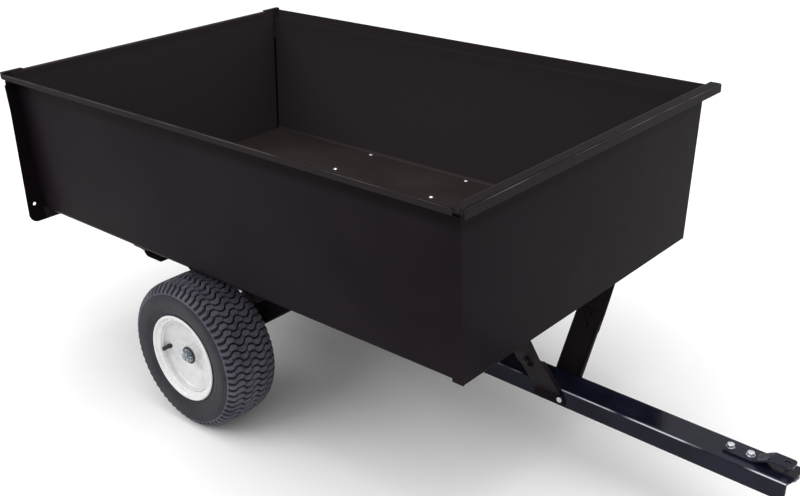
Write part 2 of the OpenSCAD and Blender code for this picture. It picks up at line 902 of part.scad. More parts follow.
module valve_stem_right() {
    color(plastic) cart() valve_stem(right);
}

tub_shell();
rear_frame();
front_panel();
crossmember_front();
crossmember_rear();
floor_bolts();
floor_nuts();
axle_bracket_left();
axle_bracket_right();
bracket_bolts();
bracket_nuts();
support_strap_left();
support_strap_right();
support_leg_left();
support_leg_right();
leg_bolts();
leg_nuts();
strap_bolts();
strap_nuts();
tailgate_guide_left();
tailgate_guide_right();
tailgate_sill();
tailgate_panel();
tailgate_cap_left();
tailgate_cap_right();
tongue();
hitch_strap();
hitch_bolts();
hitch_washers();
hitch_nuts();
rest_bolt();
rest_nut();
axle();
axle_spacers();
wheel_spacers();
axle_washers();
cotter_pins();
wheel_rim_left();
wheel_rim_right();
wheel_disc_left();
wheel_disc_right();
wheel_hub_left();
wheel_hub_right();
hub_bushings_left();
hub_bushings_right();
tyre_left();
tyre_right();
valve_stem_left();
valve_stem_right();
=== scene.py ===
"""Looks of the garden dump cart: painted sheet steel, turf tyres, white wheels and zinc fasteners."""

import math
import random
from collections import namedtuple

import bmesh
import bpy
import numpy as np
from mathutils import Euler, Matrix, Vector


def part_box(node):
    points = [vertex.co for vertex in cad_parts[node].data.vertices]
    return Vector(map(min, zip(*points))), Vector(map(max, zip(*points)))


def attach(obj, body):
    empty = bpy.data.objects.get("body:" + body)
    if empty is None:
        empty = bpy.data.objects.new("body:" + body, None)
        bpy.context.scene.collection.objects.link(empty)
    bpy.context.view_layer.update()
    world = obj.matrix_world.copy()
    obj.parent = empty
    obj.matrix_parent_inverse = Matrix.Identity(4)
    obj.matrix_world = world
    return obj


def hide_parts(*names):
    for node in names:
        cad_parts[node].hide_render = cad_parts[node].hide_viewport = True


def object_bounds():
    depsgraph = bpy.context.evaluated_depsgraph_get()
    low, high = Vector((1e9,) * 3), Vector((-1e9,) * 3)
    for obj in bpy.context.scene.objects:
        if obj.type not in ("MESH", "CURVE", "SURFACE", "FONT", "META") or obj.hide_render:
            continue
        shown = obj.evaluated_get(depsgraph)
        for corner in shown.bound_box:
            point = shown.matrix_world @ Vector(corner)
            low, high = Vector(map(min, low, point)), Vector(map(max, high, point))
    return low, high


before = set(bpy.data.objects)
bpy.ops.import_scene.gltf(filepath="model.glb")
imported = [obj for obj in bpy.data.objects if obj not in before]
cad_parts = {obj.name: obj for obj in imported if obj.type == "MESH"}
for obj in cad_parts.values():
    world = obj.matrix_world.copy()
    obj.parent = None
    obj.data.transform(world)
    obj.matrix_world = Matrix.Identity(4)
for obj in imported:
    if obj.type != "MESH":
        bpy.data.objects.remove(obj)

MM = 0.001
SIDES = ("left", "right")
cad_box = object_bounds()
scene = bpy.context.scene
rng = random.Random(7)


# ---------------------------------------------------------------- meshes

MERGE = 0.01 * MM       # corners closer than this are one corner
FOLD_WIDTH = 4 * MM     # narrower faces belong to folds and corners, so they are shaded smooth


def add_mesh(name, verts, faces, smooth_angle=35):
    """A mesh object that is shaded smooth except over edges sharper than smooth_angle."""
    mesh = bpy.data.meshes.new(name)
    mesh.from_pydata([tuple(v) for v in verts], [], faces)
    mesh.validate()
    bm = bmesh.new()
    bm.from_mesh(mesh)
    bmesh.ops.recalc_face_normals(bm, faces=bm.faces)
    bm.to_mesh(mesh)
    bm.free()
    mesh.polygons.foreach_set("use_smooth", [True] * len(mesh.polygons))
    mesh.set_sharp_from_angle(angle=math.radians(smooth_angle))
    obj = bpy.data.objects.new(name, mesh)
    scene.collection.objects.link(obj)
    return obj


def joined(name, parts, smooth_angle=35):
    """One mesh object from several pairs of corners and faces."""
    verts, faces = [], []
    for v, f in parts:
        start = len(verts)
        verts.extend(v)
        faces.extend([tuple(i + start for i in face) for face in f])
    return add_mesh(name, verts, faces, smooth_angle)


def finish_piece(obj, body, slot, material, *nodes):
    """Gives a piece its material and its body, and hides the CAD nodes it stands for; slot is not used."""
    obj.data.materials.clear()
    obj.data.materials.append(material)
    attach(obj, body)
    if nodes:
        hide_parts(*nodes)
    return obj


def merged(cad_node):
    """A CAD node's mesh to work on, with its doubled corners merged."""
    bm = bmesh.new()
    bm.from_mesh(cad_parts[cad_node].data)
    bmesh.ops.remove_doubles(bm, verts=bm.verts, dist=MERGE)
    return bm


def formed(cad_node, bevel):
    """The node's own shape with rounded edges and clean shading, as cut and folded steel has."""
    bm = merged(cad_node)
    bmesh.ops.dissolve_limit(bm, angle_limit=math.radians(0.6), verts=bm.verts, edges=bm.edges)
    bm.verts.index_update()
    verts = [v.co.copy() for v in bm.verts]
    faces = [[v.index for v in f.verts] for f in bm.faces]
    bm.free()
    obj = add_mesh(cad_node + "_formed", verts, faces, 180)
    for face in obj.data.polygons:
        corners = [obj.data.vertices[i].co for i in face.vertices]
        longest = max((b - a).length for a, b in zip(corners, corners[1:] + corners[:1]))
        face.use_smooth = face.area / longest < FOLD_WIDTH
    round_edges = obj.modifiers.new("round_edges", "BEVEL")
    round_edges.width = bevel * MM
    round_edges.segments = 2
    round_edges.limit_method = "ANGLE"
    round_edges.angle_limit = math.radians(38)
    round_edges.use_clamp_overlap = True
    return obj


def islands(cad_node):
    """The separate solids of a CAD node, each as an array of its corners."""
    bm = merged(cad_node)
    found, seen = [], set()
    for start in bm.verts:
        if start in seen:
            continue
        group, stack = [], [start]
        seen.add(start)
        while stack:
            v = stack.pop()
            group.append(tuple(v.co))
            for e in v.link_edges:
                w = e.other_vert(v)
                if w not in seen:
                    seen.add(w)
                    stack.append(w)
        found.append(np.array(group))
    bm.free()
    return found


def rounded(points, radii, steps=6):
    """A line whose inner corners are replaced by arcs; radii has one value for each inner corner."""
    line = [Vector(points[0])]
    for i in range(1, len(points) - 1):
        a, b, c = (Vector(points[j]) for j in (i - 1, i, i + 1))
        u, v = (a - b).normalized(), (c - b).normalized()
        r = radii[i - 1]
        cosine = max(-0.9999, min(0.9999, u.dot(v)))
        half = math.acos(cosine) / 2
        if r <= 0 or half > math.radians(89.5):
            line.append(b)
            continue
        centre = b + (u + v).normalized() * (r / math.sin(half))
        p, q = b + u * (r / math.tan(half)) - centre, b + v * (r / math.tan(half)) - centre
        turn = math.pi - 2 * half
        for k in range(steps + 1):
            t = k / steps
            line.append(centre + (p * math.sin(turn * (1 - t)) + q * math.sin(turn * t)) / math.sin(turn))
    line.append(Vector(points[-1]))
    return line


def smooth_line(points, steps=5):
    """A curve through all the points."""
    pts = [Vector(p) for p in points]
    line = []
    for i in range(len(pts) - 1):
        a, b, c, d = pts[max(i - 1, 0)], pts[i], pts[i + 1], pts[min(i + 2, len(pts) - 1)]
        for k in range(steps):
            t = k / steps
            bend = (2 * a - 5 * b + 4 * c - d) * t * t + (3 * b - a - 3 * c + d) * t**3
            line.append(0.5 * (2 * b + (c - a) * t + bend))
    line.append(pts[-1])
    return line


def thick(line, t):
    """Closed outline of a sheet of thickness t beside a line, to its left where t is positive."""
    sides = []
    for i, p in enumerate(line):
        a = (line[i] - line[i - 1]) if i else (line[1] - line[0])
        b = (line[i + 1] - line[i]) if i + 1 < len(line) else a
        na, nb = (Vector((-d.y, d.x)).normalized() for d in (a, b))
        sides.append(p + (na + nb) * (t / (1 + na.dot(nb))))
    return list(line) + sides[::-1]


def mm_profile(points):
    """Points in mm as pairs in metres."""
    return [(x * MM, y * MM) for x, y in points]


def strip_faces(start, next_start, count, closed=True):
    """Four-sided faces between two rows of corners."""
    faces = []
    for k in range(count if closed else count - 1):
        m = (k + 1) % count
        faces.append((start + k, start + m, next_start + m, next_start + k))
    return faces


def ring_verts(profile, segments, place, closed=True):
    """Corners and faces of a profile (radius, height) turned about an axis; place maps local points."""
    verts, faces, n = [], [], len(profile)
    for i in range(segments):
        a = 2 * math.pi * i / segments
        verts += [place(Vector((r * math.cos(a), r * math.sin(a), h))) for r, h in profile]
        faces += strip_faces(i * n, (i + 1) % segments * n, n, closed)
    return verts, faces


def sweep(points, radius, sides=10):
    """A round bar along points, with domed ends."""
    pts = [Vector(p) for p in points]
    n = len(pts)
    tangents = [(pts[min(i + 1, n - 1)] - pts[max(i - 1, 0)]).normalized() for i in range(n)]
    normal = tangents[0].orthogonal().normalized()
    verts, faces = [], []
    for point, along_bar in zip(pts, tangents):
        normal = (normal - along_bar * normal.dot(along_bar)).normalized()
        other = along_bar.cross(normal)
        for k in range(sides):
            a = 2 * math.pi * k / sides
            verts.append(point + (normal * math.cos(a) + other * math.sin(a)) * radius)
    for i in range(n - 1):
        faces += strip_faces(i * sides, (i + 1) * sides, sides)
    for i, sign in ((0, -1), (n - 1, 1)):
        tip = len(verts)
        verts.append(pts[i] + tangents[i] * (sign * radius * 0.5))
        faces += [(i * sides + k, i * sides + (k + 1) % sides, tip) for k in range(sides)]
    return verts, faces


# ---------------------------------------------------------------- shader nodes


def principled(name, **values):
    """A material whose uniform values sit on the shader's own sockets."""
    mat = bpy.data.materials.new(name)
    mat.use_nodes = True
    tree = mat.node_tree
    shader = next(n for n in tree.nodes if n.type == "BSDF_PRINCIPLED")
    for socket, value in values.items():
        shader.inputs[socket.replace("_", " ")].default_value = value
    return mat, tree, shader


def feed(tree, socket, value):
    """Links a socket to another node's output, or sets it to a value or a colour."""
    if isinstance(value, bpy.types.NodeSocket):
        tree.links.new(value, socket)
    elif isinstance(value, tuple) and socket.type == "RGBA":
        socket.default_value = (*value, 1)
    else:
        socket.default_value = value


def node(tree, kind, **inputs):
    """A shader node with its inputs set to values or linked from sockets."""
    made = tree.nodes.new(kind)
    for key, value in inputs.items():
        feed(tree, made.inputs[key.replace("_", " ")], value)
    return made


def split(tree, vector):
    """The X, Y and Z of a vector."""
    return node(tree, "ShaderNodeSeparateXYZ", Vector=vector).outputs


def texture_space(tree, output):
    """A vector at each point: Object (metres in the piece's own space), Normal, or the sky's Generated."""
    return tree.nodes.new("ShaderNodeTexCoord").outputs[output]


def noise(tree, scale, detail=3.0, rough=0.55):
    """Cloudy values about 0.5, with scale features to the metre."""
    where = texture_space(tree, "Object")
    made = node(tree, "ShaderNodeTexNoise", Vector=where, Scale=scale, Detail=detail, Roughness=rough)
    return made.outputs["Fac"]


def math_node(tree, operation, a, b=0.0, clamp=False):
    """The result of a math operation on two values."""
    made = tree.nodes.new("ShaderNodeMath")
    made.operation = operation
    made.use_clamp = clamp
    for socket, value in zip(made.inputs, (a, b)):
        feed(tree, socket, value)
    return made.outputs[0]


def times(tree, a, b):
    return math_node(tree, "MULTIPLY", a, b)


def plus(tree, a, b):
    return math_node(tree, "ADD", a, b)


def minus(tree, a, b, clamp=False):
    return math_node(tree, "SUBTRACT", a, b, clamp)


def magnitude(tree, a):
    return math_node(tree, "ABSOLUTE", a)


def ramp(tree, value, low, high, out_low=0.0, out_high=1.0):
    """Maps low..high of a value to out_low..out_high, smoothly and clamped."""
    made = node(tree, "ShaderNodeMapRange", Value=value, From_Min=low, From_Max=high)
    made.inputs["To Min"].default_value = out_low
    made.inputs["To Max"].default_value = out_high
    made.interpolation_type = "SMOOTHSTEP"
    return made.outputs["Result"]


def blend_colour(tree, share, a, b):
    """Colour a where share is 0, colour b where it is 1."""
    made = tree.nodes.new("ShaderNodeMix")
    made.data_type = "RGBA"
    for index, value in ((0, share), (6, a), (7, b)):
        feed(tree, made.inputs[index], value)
    return made.outputs[2]


def coat(tree, shader, colour, roughness, bump_height, strength, distance):
    """Gives a shader its colour, its roughness and its small bumps."""
    tree.links.new(colour, shader.inputs["Base Color"])
    tree.links.new(roughness, shader.inputs["Roughness"])
    bumps = node(tree, "ShaderNodeBump", Height=bump_height, Strength=strength, Distance=distance)
    tree.links.new(bumps.outputs["Normal"], shader.inputs["Normal"])


def mottle(tree, scale, detail, low, high, out_low=0.0, out_high=1.0):
    """Noise whose low..high is spread over out_low..out_high."""
    return ramp(tree, noise(tree, scale, detail), low, high, out_low, out_high)


# ---------------------------------------------------------------- painted shade, light, highlights and dust

WALL_FOOT, WALL_TOP = 468 * MM, 487 * MM    # from the middle to the side walls' outer faces


def facing_up(tree):
    """1 on faces that look up in the body's own frame, 0 on the rest."""
    return ramp(tree, split(tree, texture_space(tree, "Normal"))["Z"], 0.55, 0.95)


def outward(tree):
    """Positive on upright faces that look away from the tub's middle, negative on those that look in."""
    where = split(tree, texture_space(tree, "Object"))
    look = split(tree, texture_space(tree, "Normal"))
    low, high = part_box("tub_shell")
    lengthwise = times(tree, minus(tree, where["X"], (low.x + high.x) / 2), look["X"])
    return plus(tree, lengthwise, times(tree, where["Y"], look["Y"]))


def facing_in(tree):
    """1 on upright faces that look into the tub, 0 on the rest and on the ears beside the walls."""
    where = split(tree, texture_space(tree, "Object"))
    low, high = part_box("tub_shell")
    flare = (WALL_TOP - WALL_FOOT) / (high.z - low.z)
    wall = plus(tree, WALL_FOOT, times(tree, flare, minus(tree, where["Z"], low.z)))
    beyond = minus(tree, magnitude(tree, where["Y"]), wall)
    between = ramp(tree, beyond, -2 * MM, 1 * MM, 1.0, 0.0)
    return times(tree, ramp(tree, outward(tree), -0.02, -0.08), between)


def on_fold(tree):
    """1 on the outside of a fold between a level and an upright face, 0 on both faces."""
    look = split(tree, texture_space(tree, "Normal"))
    upright = math_node(tree, "MAXIMUM", magnitude(tree, look["Y"]), magnitude(tree, look["X"]))
    return ramp(tree, math_node(tree, "MINIMUM", upright, look["Z"]), 0.46, 0.66)


def painted_rim_and_ear_shade(tree, paint, where):
    """Painted shade: darker paint under the rims and beside the ears, where shade falls."""
    low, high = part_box("tub_shell")
    by_rim = ramp(tree, where["Z"], high.z - 70 * MM, high.z - 42 * MM, 0.0, 0.85)
    by_ear = ramp(tree, where["X"], low.x + 20 * MM, low.x + 55 * MM, 0.6, 0.0)
    share = math_node(tree, "MAXIMUM", by_rim, by_ear)
    # the colour of the painted shade
    return blend_colour(tree, share, paint, (0.0040, 0.0028, 0.0036))


def dust_and_painted_light_inside(tree, paint, where):
    """A brown cast on the upright faces that look into the tub, fainter below its floor: dust, and painted
    light that lightens these inward faces.
    """
    floor_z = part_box("tub_shell")[0].z
    share = times(tree, facing_in(tree), ramp(tree, where["Z"], floor_z - 10 * MM, floor_z, 0.40, 0.95))
    return blend_colour(tree, share, paint, (0.0360, 0.0290, 0.0312))


def dust_and_painted_light_on_level(tree, where):
    """How much dust and painted light lie on level faces: most on the floor, little as high as the rims; the
    painted light makes up-facing faces lighter.
    """
    share = times(tree, facing_up(tree), mottle(tree, 5, 4, 0.25, 0.75, 0.55, 1.0))
    return times(tree, share, ramp(tree, where["Z"], 0.50, 0.70, 1.0, 0.15))


def painted_rim_sheen_and_highlights(tree, paint, where):
    """Painted sheen that lightens the rims, and painted highlights along their outer folds."""
    rim_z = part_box("tub_shell")[1].z
    on_rim = ramp(tree, where["Z"], rim_z - 24 * MM, rim_z - 21 * MM)
    # painted sheen on the rims' upright faces
    painted_rim_sheen = times(tree, on_rim, minus(tree, 0.60, facing_up(tree), True))
    paint = blend_colour(tree, painted_rim_sheen, paint, (0.0280, 0.0225, 0.0225))
    # painted highlight along the rims' outer folds
    painted_rim_fold_highlight = times(tree, on_fold(tree), mottle(tree, 7, 3, 0.40, 0.62, 0.15, 0.8))
    painted_rim_fold_highlight = times(tree, painted_rim_fold_highlight, ramp(tree, where["Z"], rim_z - 60 * MM, rim_z - 40 * MM))
    painted_rim_fold_highlight = times(tree, painted_rim_fold_highlight, ramp(tree, outward(tree), 0.05, 0.15))
    return blend_colour(tree, painted_rim_fold_highlight, paint, (0.1050, 0.0930, 0.0900))


# ---------------------------------------------------------------- materials


def black_paint():
    """Satin black powder coat with fine orange peel and faint mottling; dust, painted shade, painted light
    and painted highlights.
    """
    mat, tree, shader = principled("black_powder_coat", Specular_IOR_Level=0.022)
    dark, light, dust = (0.0082, 0.0052, 0.0074), (0.0114, 0.0078, 0.0102), (0.0350, 0.0272, 0.0262)
    where = split(tree, texture_space(tree, "Object"))
    paint = blend_colour(tree, mottle(tree, 2.6, 5, 0.35, 0.65), dark, light)
    # painted shade under the rims and beside the ears
    paint = painted_rim_and_ear_shade(tree, paint, where)
    # dust, and painted light on the faces that look into the tub
    paint = dust_and_painted_light_inside(tree, paint, where)
    # dust, and painted light that lightens level faces
    dust_and_light_share = dust_and_painted_light_on_level(tree, where)
    paint = blend_colour(tree, times(tree, dust_and_light_share, 0.85), paint, dust)
    # painted sheen and highlights on the rims
    paint = painted_rim_sheen_and_highlights(tree, paint, where)
    rough = plus(tree, mottle(tree, 160, 2, 0.3, 0.7, 0.30, 0.40), times(tree, dust_and_light_share, 0.10))
    coat(tree, shader, paint, rough, noise(tree, 420, 2), 0.10, 0.35 * MM)
    return mat


def tongue_paint():
    """Gloss black enamel with a blue cast, a painted highlight along its folds, and a soft orange peel that
    breaks up its reflections.
    """
    mat, tree, shader = principled(
        "black_gloss_enamel", Specular_IOR_Level=0.13, Coat_Weight=0.06, Coat_Roughness=0.04
    )
    dark, light, painted_tongue_fold_highlight = (0.0045, 0.0047, 0.0115), (0.0085, 0.0088, 0.0200), (0.62, 0.64, 0.72)
    paint = blend_colour(tree, mottle(tree, 9, 4, 0.35, 0.65), dark, light)
    # painted highlight along the tongue's folds, where light catches the bends
    paint = blend_colour(tree, times(tree, on_fold(tree), mottle(tree, 6, 2, 0.36, 0.52)), paint, painted_tongue_fold_highlight)
    rough = mottle(tree, 35, 4, 0.3, 0.7, 0.12, 0.22)
    coat(tree, shader, paint, rough, noise(tree, 130, 2), 0.10, 0.5 * MM)
    return mat


def zinc():
    """Bright zinc plate, cloudy and slightly blue, with fine turning marks."""
    mat, tree, shader = principled("zinc_plate", Metallic=1.0)
    colour = blend_colour(tree, mottle(tree, 210, 4, 0.3, 0.7), (0.52, 0.56, 0.62), (0.78, 0.79, 0.78))
    rough = mottle(tree, 600, 3, 0.3, 0.7, 0.24, 0.42)
    coat(tree, shader, colour, rough, noise(tree, 1500, 2), 0.12, 0.1 * MM)
    return mat


def dull_zinc():
    """Zinc plate, darker and duller, for the axle and the fasteners under the tub."""
    mat, tree, shader = principled("dull_zinc_plate", Metallic=1.0)
    colour = blend_colour(tree, mottle(tree, 240, 5, 0.38, 0.62), (0.10, 0.12, 0.14), (0.42, 0.46, 0.50))
    rough = mottle(tree, 500, 3, 0.3, 0.7, 0.30, 0.50)
    coat(tree, shader, colour, rough, noise(tree, 900, 2), 0.15, 0.1 * MM)
    return mat


def white_paint():
    """Gloss white wheel paint with soft waves and a trace of grey dust."""
    mat, tree, shader = principled(
        "white_wheel_paint", Specular_IOR_Level=0.5, Coat_Weight=0.35, Coat_Roughness=0.12
    )
    dirt = ramp(tree, noise(tree, 14, 6, 0.65), 0.42, 0.70)
    paint = blend_colour(tree, times(tree, dirt, 0.5), (0.70, 0.70, 0.705), (0.40, 0.395, 0.39))
    rough = mottle(tree, 60, 3, 0.3, 0.7, 0.24, 0.36)
    coat(tree, shader, paint, rough, noise(tree, 90, 2), 0.10, 0.5 * MM)
    return mat


def rubber():
    """Tyre rubber, blue-grey with bloom and dust on what stands out, painted shade in the grooves, over a
    fine moulded grain.
    """
    mat, tree, shader = principled(
        "tyre_rubber_moulded", Specular_IOR_Level=0.18, Sheen_Weight=0.03, Sheen_Roughness=0.5
    )
    dark, light = (0.048, 0.046, 0.066), (0.090, 0.085, 0.110)
    dust, painted_groove_shade = (0.170, 0.158, 0.160), (0.008, 0.008, 0.010)
    grain = noise(tree, 700, 3)
    colour = blend_colour(tree, mottle(tree, 16, 5, 0.3, 0.7), dark, light)
    colour = blend_colour(tree, mottle(tree, 130, 4, 0.52, 0.78, 0, 0.5), colour, dust)
    relief = tree.nodes.new("ShaderNodeAttribute")
    relief.attribute_name = "relief"
    # painted shade in the grooves: the lower the relief, the darker the rubber
    colour = blend_colour(tree, ramp(tree, relief.outputs["Fac"], 0.0, 0.8), painted_groove_shade, colour)
    coat(tree, shader, colour, ramp(tree, grain, 0.3, 0.7, 0.48, 0.68), grain, 0.25, 0.25 * MM)
    return mat


def valve_rubber():
    """Smooth black moulded rubber."""
    mat, tree, shader = principled("valve_rubber_moulded", Specular_IOR_Level=0.45)
    colour = blend_colour(tree, noise(tree, 300, 3), (0.008, 0.008, 0.009), (0.020, 0.020, 0.021))
    rough = mottle(tree, 500, 2, 0.3, 0.7, 0.38, 0.52)
    coat(tree, shader, colour, rough, noise(tree, 900, 2), 0.2, 0.1 * MM)
    return mat


def plastic():
    """Dark bearing plastic with a faint grain."""
    mat, tree, shader = principled("bearing_plastic", Specular_IOR_Level=0.5)
    colour = blend_colour(tree, noise(tree, 200, 3), (0.010, 0.010, 0.012), (0.024, 0.024, 0.027))
    rough = mottle(tree, 450, 2, 0.3, 0.7, 0.34, 0.48)
    coat(tree, shader, colour, rough, noise(tree, 800, 2), 0.15, 0.1 * MM)
    return mat


def floor_paper():
    """Pale matt studio floor."""
    mat, tree, shader = principled("studio_floor", Specular_IOR_Level=0.1, Roughness=0.9)
    colour = blend_colour(tree, noise(tree, 0.7, 2), (0.94, 0.94, 0.94), (0.96, 0.96, 0.96))
    tree.links.new(colour, shader.inputs["Base Color"])
    return mat


BLACK, GLOSS, ZINC, DULL_ZINC = black_paint(), tongue_paint(), zinc(), dull_zinc()
WHITE, RUBBER, VALVE, PLASTIC = white_paint(), rubber(), valve_rubber(), plastic()


# ---------------------------------------------------------------- sheet steel and frame

FORMED = (  # nodes, body, slot, material, edge radius in mm
    (("tub_shell", "rear_frame", "front_panel"), "tub", "black_paint", BLACK, 0.6),
    (("crossmember_front", "crossmember_rear"), "tub", "black_paint", BLACK, 0.8),
    (("axle_bracket_left", "axle_bracket_right"), "tub", "black_paint", BLACK, 0.9),
    (("support_strap_left", "support_strap_right"), "tub", "black_paint", BLACK, 0.8),
    (("support_leg_left", "support_leg_right"), "tub", "black_paint", BLACK, 0.8),
    (("tailgate_guide_left", "tailgate_guide_right", "tailgate_sill"), "tub", "black_paint", BLACK, 0.6),
    (("tailgate_panel",), "tailgate", "black_paint", BLACK, 0.6),
    (("tailgate_cap_left", "tailgate_cap_right"), "tailgate", "black_paint", BLACK, 0.7),
    (("tongue", "hitch_strap"), "chassis", "tongue_paint", GLOSS, 1.2),
    (("hitch_washers",), "chassis", "zinc_steel", ZINC, 0.4),
    (("axle",), "chassis", "zinc_steel", DULL_ZINC, 0.3),
    (("axle_spacers", "wheel_spacers"), "chassis", "black_paint", BLACK, 0.5),
    (("axle_washers",), "chassis", "zinc_steel", DULL_ZINC, 0.4),
    (("wheel_hub_left",), "wheel_left", "white_paint", WHITE, 0.6),
    (("hub_bushings_left",), "wheel_left", "black_plastic", PLASTIC, 0.5),
    (("wheel_hub_right",), "wheel_right", "white_paint", WHITE, 0.6),
    (("hub_bushings_right",), "wheel_right", "black_plastic", PLASTIC, 0.5),
)

for cad_nodes, body, slot, material, edge in FORMED:
    for cad_node in cad_nodes:
        finish_piece(formed(cad_node, edge), body, slot, material, cad_node)


# ---------------------------------------------------------------- fasteners

Bolt = namedtuple("Bolt", "bearing axis head_r head_h length")
ROUND = 24                  # corners round a bolt, a nut or a thread
THREAD_PITCH = 1.25 * MM
HEX_TURN = math.pi / 3
FASTENER = {"zinc_steel": ZINC, "black_paint": BLACK}
DULL = ("bracket_bolts", "bracket_nuts", "strap_bolts", "strap_nuts", "floor_nuts")


def along(origin, axis, spin=0.0):
    """A map from a fastener's own frame, +Z out of the head, to its place."""
    z = Vector(axis).normalized()
    turn = z.to_track_quat("Z", "Y").to_matrix() @ Matrix.Rotation(spin, 3, "Z")
    base = Vector(origin)
    return lambda p: base + turn @ p


def hex_row(corner_r, z_corner, z_flat):
    """A row of corners round a hexagon; z goes from z_flat at its flats to z_corner at its corners."""
    row, flat_r = [], corner_r * math.cos(HEX_TURN / 2)
    for k in range(ROUND):
        a = 2 * math.pi * k / ROUND
        r = flat_r / math.cos((a % HEX_TURN) - HEX_TURN / 2)
        share = (r - flat_r) / (corner_r - flat_r)
        row.append(Vector((r * math.cos(a), r * math.sin(a), z_flat + (z_corner - z_flat) * share)))
    return row


def round_row(r, z):
    """A row of corners round a circle."""
    turns = [2 * math.pi * k / ROUND for k in range(ROUND)]
    return [Vector((r * math.cos(a), r * math.sin(a), z)) for a in turns]


def hexagon(corner_r, height, place, bore=0.0):
    """A bolt's hexagon head, or a nut where bore is given, with 30 degree chamfers at its corners."""
    flat_r = corner_r * math.cos(HEX_TURN / 2)
    drop = (corner_r - flat_r) * math.tan(math.radians(30))
    small = 0.1 * MM
    if bore:
        rows = [round_row(flat_r * 0.97, 0), hex_row(corner_r, drop + small, small)]
    else:
        face = 0.4 * MM
        rows = [round_row(flat_r * 0.99, z) for z in (0, face)] + [hex_row(corner_r, face, face)]
    rows += [hex_row(corner_r, height - drop - small, height - small), round_row(flat_r * 0.95, height)]
    if bore:
        mouth = 0.6 * MM
        rows += [round_row(bore * 1.12, height), round_row(bore, height - mouth)]
        rows += [round_row(bore, mouth), round_row(bore * 1.12, 0)]
    else:
        rows.append(round_row(flat_r * 0.6, height))
    verts = [place(p) for row in rows for p in row]
    faces = []
    for i in range(len(rows) if bore else len(rows) - 1):
        faces += strip_faces(i * ROUND, (i + 1) % len(rows) * ROUND, ROUND)
    if not bore:
        faces.append([(len(rows) - 1) * ROUND + k for k in range(ROUND)])
        faces.append(list(range(ROUND))[::-1])
    return verts, faces


def shank(r, length, place, plain=0.0):
    """A bolt's shank with rolled threads below its plain part and a chamfered end."""
    pitch = THREAD_PITCH
    profile = [(0, 0), (r * 0.985, 0)]
    z = -plain
    if plain:
        profile.append((r * 0.985, z))
    while z - pitch > -length + pitch:
        profile += [(r, z - 0.25 * pitch), (r, z - 0.4 * pitch)]
        profile += [(r * 0.87, z - 0.85 * pitch), (r * 0.87, z - pitch)]
        z -= pitch
    profile += [(r * 0.86, -length + 0.6 * MM), (r * 0.72, -length), (0, -length)]
    return ring_verts(profile, ROUND, place, closed=False)


def dome_head(r, h, place):
    """The low round head of a carriage bolt, with its thin parallel edge."""
    edge = 0.7 * MM
    ball = (r * r + h * h) / (2 * h)
    profile = [(0, 0), (r * 0.985, 0), (r, 0.2 * MM), (r * 0.998, edge)]
    for k in range(1, 9):
        z = edge + (h - edge) * math.sin(math.pi / 2 * k / 8)
        profile.append((math.sqrt(max(0.0, ball * ball - (z - h + ball) ** 2)), z))
    return ring_verts(profile, 32, place, closed=False)


def along_axis(pts, centre, axis):
    """How far each point lies along an axis through centre, and how far away from it."""
    t = (pts - centre) @ axis
    return t, np.linalg.norm(pts - centre - np.outer(t, axis), axis=1)


def bolts_of(cad_node):
    """The place, the axis out of the head and the sizes of each bolt of a node."""
    found = []
    for pts in islands(cad_node):
        centre = (pts.min(0) + pts.max(0)) / 2
        axis = np.linalg.svd(pts - pts.mean(0), full_matrices=False)[2][0]
        t, away = along_axis(pts, centre, axis)
        head = t[away > away.max() * 0.93]
        if head.mean() < (t.min() + t.max()) / 2:
            axis, t, head = -axis, -t, -head
        bearing = head.min()
        place = Vector(centre + axis * bearing)
        found.append(Bolt(place, Vector(axis), away.max(), t.max() - bearing, bearing - t.min()))
    return found


def finish_fasteners(cad_node, parts, body, slot):
    """The detailed fasteners of a node as one piece, in its metal or paint."""
    material = DULL_ZINC if cad_node in DULL else FASTENER[slot]
    name = cad_node.removesuffix("s") + "_set"
    return finish_piece(joined(name, parts, 28), body, slot, material, cad_node)


def bolt_set(cad_node, body, shank_r, head, plain=0.0, slot="zinc_steel"):
    """Detailed bolts with hexagon or domed heads where a CAD node's plain ones are."""
    parts = []
    for bolt in bolts_of(cad_node):
        place = along(bolt.bearing, bolt.axis, rng.uniform(0, HEX_TURN) if head is hexagon else 0)
        parts.append(head(bolt.head_r, bolt.head_h, place))
        parts.append(shank(shank_r, bolt.length, place, plain))
    return finish_fasteners(cad_node, parts, body, slot)


def nut_set(cad_node, body, bore, bolt_node, slot="zinc_steel"):
    """Detailed nuts where a CAD node's plain ones are, each about the axis of the nearest bolt."""
    bolts = bolts_of(bolt_node)
    parts = []
    for pts in islands(cad_node):
        centre = Vector((pts.min(0) + pts.max(0)) / 2)

        def off_axis(bolt):
            d = centre - bolt.bearing
            return (d - bolt.axis * d.dot(bolt.axis)).length

        axis = min(bolts, key=off_axis).axis
        t, away = along_axis(pts, np.array(centre), np.array(axis))
        place = along(centre + axis * float(t.min()), axis, rng.uniform(0, HEX_TURN))
        parts.append(hexagon(float(away.max()), float(t.max() - t.min()), place, bore))
    return finish_fasteners(cad_node, parts, body, slot)


M8, M10 = 4 * MM, 5 * MM    # thread radii
bolt_set("floor_bolts", "tub", M8, dome_head)
bolt_set("strap_bolts", "tub", M8, dome_head)
bolt_set("bracket_bolts", "tub", M8, hexagon)
bolt_set("leg_bolts", "tub", M8, hexagon, slot="black_paint")
bolt_set("hitch_bolts", "chassis", M10, hexagon)
bolt_set("rest_bolt", "chassis", M8, hexagon, plain=70 * MM)
nut_set("floor_nuts", "tub", M8, "floor_bolts")
nut_set("strap_nuts", "tub", M8, "strap_bolts")
nut_set("bracket_nuts", "tub", M8, "bracket_bolts")
nut_set("leg_nuts", "tub", M8, "leg_bolts", "black_paint")
nut_set("hitch_nuts", "chassis", M10, "hitch_bolts")
nut_set("rest_nut", "chassis", M8, "rest_bolt")


